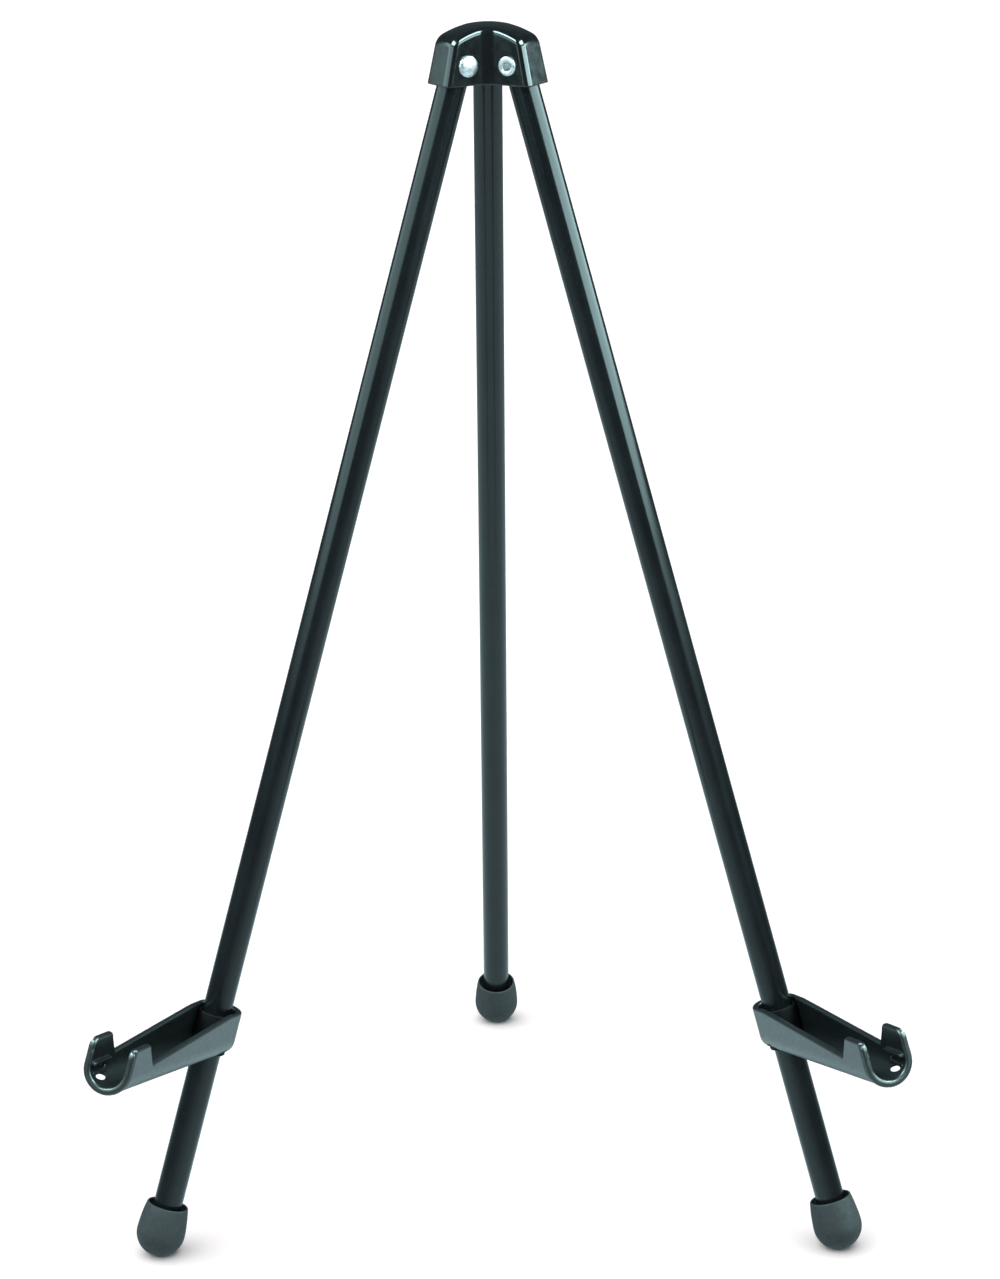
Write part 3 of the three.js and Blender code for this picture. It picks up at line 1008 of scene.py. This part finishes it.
def place_camera():
    """The view from just above the front."""
    data = bpy.data.cameras.new("camera")
    data.lens = CAMERA["lens"]
    data.shift_x, data.shift_y = CAMERA["shift"]
    camera = bpy.data.objects.new("camera", data)
    bpy.context.scene.collection.objects.link(camera)
    direction = towards(CAMERA["azimuth"], CAMERA["elevation"])
    aim = (-direction).to_track_quat("-Z", "Y").to_matrix().to_4x4()
    roll = Matrix.Rotation(math.radians(CAMERA["roll"]), 4, "Z")
    place = Vector(CAMERA["target"]) + direction * CAMERA["distance"]
    camera.matrix_world = Matrix.Translation(place) @ aim @ roll
    bpy.context.scene.camera = camera


def softbox(name, azimuth, elevation, size, power):
    """A rectangular light aimed at the easel. It shows in gloss and lights no matt surface."""
    data = bpy.data.lights.new(name, "AREA")
    data.shape = "RECTANGLE"
    data.size, data.size_y = size
    data.energy = power
    lamp = bpy.data.objects.new(name, data)
    bpy.context.scene.collection.objects.link(lamp)
    direction = towards(azimuth, elevation)
    lamp.location = Vector(CAMERA["target"]) + direction * LAMP_DISTANCE
    lamp.rotation_mode = "QUATERNION"
    lamp.rotation_quaternion = direction.to_track_quat("Z", "Y")
    data.color = GLINT_COLOUR
    lamp.visible_diffuse = False


def build_studio():
    """The floor, the room and the lights. The floor is left out of the gloss."""
    bpy.ops.mesh.primitive_plane_add(size=FLOOR_SIZE, location=(0, 0, cad_low.z))
    floor = bpy.context.object
    floor.name = "studio_floor"
    floor.data.materials.append(floor_paper())
    floor.visible_glossy = False
    bpy.context.scene.world = graded_room()
    bpy.context.scene.view_settings.view_transform = "Standard"
    sky_panel()
    for lamp in SOFTBOXES:
        softbox(**lamp)


def graded_room():
    """The room that gloss reflects: dim above, and brighter below the horizon."""
    world = bpy.data.worlds.new("room")
    world.use_nodes = True
    nodes, links = world.node_tree.nodes, world.node_tree.links
    place = nodes.new("ShaderNodeTexCoord")
    split = nodes.new("ShaderNodeSeparateXYZ")
    height = nodes.new("ShaderNodeMapRange")
    height.inputs["From Min"].default_value = ROOM_BLEND[0]
    height.inputs["From Max"].default_value = ROOM_BLEND[1]
    mix = nodes.new("ShaderNodeMix")
    mix.data_type = "RGBA"
    mix.inputs[6].default_value = (*ROOM_BELOW, 1)
    mix.inputs[7].default_value = (*ROOM_ABOVE, 1)
    links.new(place.outputs["Generated"], split.inputs["Vector"])
    links.new(split.outputs["Z"], height.inputs["Value"])
    links.new(height.outputs["Result"], mix.inputs["Factor"])
    links.new(mix.outputs[2], nodes["Background"].inputs["Color"])
    return world


def sky_panel():
    """A broad sun high above, which lights matt surfaces and is left out of the gloss."""
    data = bpy.data.lights.new("sky_panel", "SUN")
    data.energy = SKY["strength"]
    data.angle = math.radians(SKY["spread"])
    data.color = KEY_COLOUR
    lamp = bpy.data.objects.new("sky_panel", data)
    bpy.context.scene.collection.objects.link(lamp)
    lamp.rotation_mode = "QUATERNION"
    lamp.rotation_quaternion = towards(SKY["azimuth"], SKY["elevation"]).to_track_quat("Z", "Y")
    lamp.visible_glossy = False


# ---- assembly ------------------------------------------------------------------------

def build_easel():
    """Every piece of the easel, each standing for its CAD node."""
    make_cap(cap_enamel())
    steel, nylon = rivet_steel(), washer_nylon()
    enamel, rubber = tube_enamel(), foot_rubber()
    for side in LEGS:
        make_rivet(side, steel)
        make_washers(side, nylon)
        make_tube(side, enamel)
        make_foot(side, rubber)
    plastic, grip = holder_plastic(), sleeve_plastic()
    for side in HELD:
        make_sleeve(side, grip)
        make_holder(side, plastic)


place_camera()
build_studio()
build_easel()
